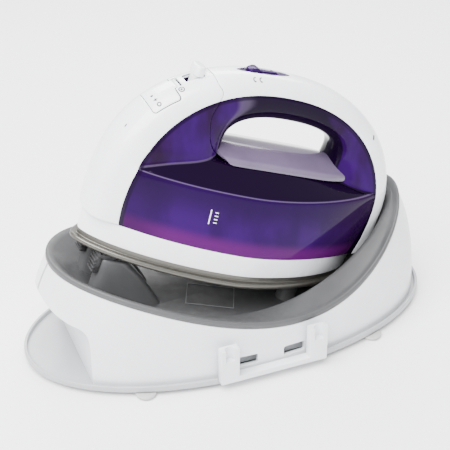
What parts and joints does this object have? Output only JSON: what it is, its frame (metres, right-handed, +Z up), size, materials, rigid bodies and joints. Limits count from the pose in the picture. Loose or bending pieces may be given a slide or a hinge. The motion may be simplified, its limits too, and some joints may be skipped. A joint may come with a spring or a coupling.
{
  "type": "cordless steam iron in its charging stand",
  "caption": "Cordless steam iron with a double-pointed sole, loop handle and pull-off water tank, parked nose-up in an oval charging stand with a grey cradle.",
  "frame": {"origin": "on the table under the middle of the stand, at the height of the feet's underside", "axes": "+X along the stand towards the heel of the iron, -X towards its nose, +Y across the stand, +Z up"},
  "size_m": [0.3376, 0.18, 0.2285],
  "materials": {
    "white_gloss": "polished white moulding",
    "clear_purple": "tinted, see-through purple moulding, polished",
    "lilac_gloss": "lilac-grey moulding, polished",
    "cradle_grey": "grey heat-resistant moulding, fine matt",
    "rubber_black": "matt black silicone rubber",
    "sole_metal": "coated soleplate, satin champagne",
    "cast_metal": "rough die casting",
    "steel": "plain zinc-plated steel",
    "copper": "contact alloy",
    "inner_plastic": "glass-filled black moulding",
    "board_green": "circuit board lacquer",
    "lamp_red": "clear red lens"
  },
  "bodies": {
    "stand": {"base_plate": "white_gloss", "base_shell": "white_gloss", "cradle": "cradle_grey", "front_rest_pad": "rubber_black", "heel_rest_pad_left": "rubber_black", "heel_rest_pad_right": "rubber_black", "terminal_block": "inner_plastic", "contact_blade_left": "copper", "contact_blade_right": "copper", "latch_rail_left": "white_gloss", "latch_rail_right": "white_gloss", "cord_inlet": "white_gloss", "stand_lead": "inner_plastic", "foot_nose_left": "rubber_black", "foot_nose_right": "rubber_black", "foot_heel_left": "rubber_black", "foot_heel_right": "rubber_black", "base_screw_1": "steel", "base_screw_2": "steel", "base_screw_3": "steel", "base_screw_4": "steel"},
    "iron": {"soleplate": "sole_metal", "skirt": "white_gloss", "heater_casting": "cast_metal", "heating_element": "steel", "steam_chamber_lid": "steel", "heat_shield": "inner_plastic", "thermostat": "copper", "thermal_fuse": "steel", "steam_gasket": "rubber_black", "handle_body": "clear_purple", "deck_cover": "lilac_gloss", "handle_cover": "white_gloss", "slider_track": "clear_purple", "handle_screw_front": "steel", "handle_screw_rear": "steel", "control_board": "board_green", "pilot_lamp_lens": "lamp_red", "heel_contact_block": "inner_plastic", "contact_plate_left": "copper", "contact_plate_right": "copper"},
    "tank": {"water_tank": "clear_purple", "front_cover": "white_gloss", "cap_hinge_pin": "steel", "lever_pin": "steel", "valve_seat": "rubber_black", "valve_spring": "steel", "spring_stop": "inner_plastic"},
    "filler_cap": {"filler_cap": "white_gloss"},
    "steam_lever": {"steam_lever": "white_gloss"},
    "valve_rod": {"valve_rod": "steel"},
    "temperature_slider": {"temperature_slider": "clear_purple"}
  },
  "joints": [
    {"name": "iron_lift", "type": "slide", "parent": "stand", "child": "iron", "axis": [0.3574, 0, 0.934], "range_m": [0, 0.16]},
    {"name": "tank_slide", "type": "slide", "parent": "iron", "child": "tank", "axis": [-0.934, 0, 0.3574], "range_m": [0, 0.235]},
    {"name": "filler_cap_hinge", "type": "hinge", "parent": "tank", "child": "filler_cap", "pos_m": [-0.0397, 0, 0.21452], "axis": [0, 1, 0], "range_deg": [0, 70]},
    {"name": "steam_lever_tilt", "type": "hinge", "parent": "tank", "child": "steam_lever", "pos_m": [-0.03099, 0, 0.20356], "axis": [0, -1, 0], "range_deg": [0, 12]},
    {"name": "valve_rod_slide", "type": "slide", "parent": "tank", "child": "valve_rod", "axis": [0.3574, 0, 0.934], "range_m": [0, 0.0021], "deforming": ["valve_spring"]},
    {"name": "temperature_slide", "type": "slide", "parent": "iron", "child": "temperature_slider", "axis": [0.96, 0, -0.28], "range_m": [0, 0.016]}
  ],
  "couplings": [
    {"joint": "valve_rod_slide", "follows": "steam_lever_tilt", "m_per_rad": 0.0095}
  ]
}
